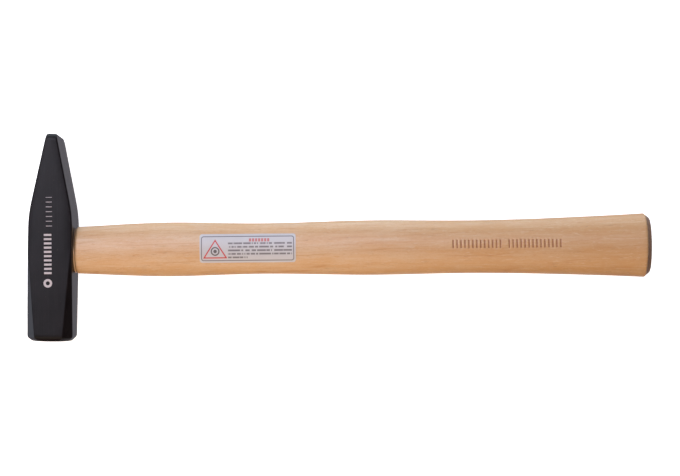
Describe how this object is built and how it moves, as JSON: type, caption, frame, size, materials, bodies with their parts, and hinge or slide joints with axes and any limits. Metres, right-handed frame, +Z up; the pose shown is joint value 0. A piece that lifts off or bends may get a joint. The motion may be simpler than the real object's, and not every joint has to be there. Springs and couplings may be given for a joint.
{
  "type": "cross-peen hammer",
  "caption": "Light cross-peen forge hammer: black forged steel head with a wedge peen and a crowned round face, wedged on an oval hickory handle that flares at the butt.",
  "frame": {"origin": "on the cheek that the hammer lies on, under the centre of the eye", "axes": "+X along the handle from the eye to the butt, +Y along the head from the striking face to the peen, +Z up, from the lower cheek to the upper cheek"},
  "size_m": [0.3175, 0.1054, 0.0228],
  "materials": {
    "black_forged_steel": "satin black lacquer with fine grinding lines",
    "lacquered_hickory": "clear lacquered pale hickory",
    "wedge_wood": "bare sawn hardwood",
    "wedge_steel": "bare stamped steel",
    "label_film": "matt printed film"
  },
  "bodies": {
    "root": {"hammer_head": "black_forged_steel", "handle": "lacquered_hickory", "wood_wedge": "wedge_wood", "steel_wedge_1": "wedge_steel", "steel_wedge_2": "wedge_steel", "label": "label_film"}
  },
  "joints": []
}
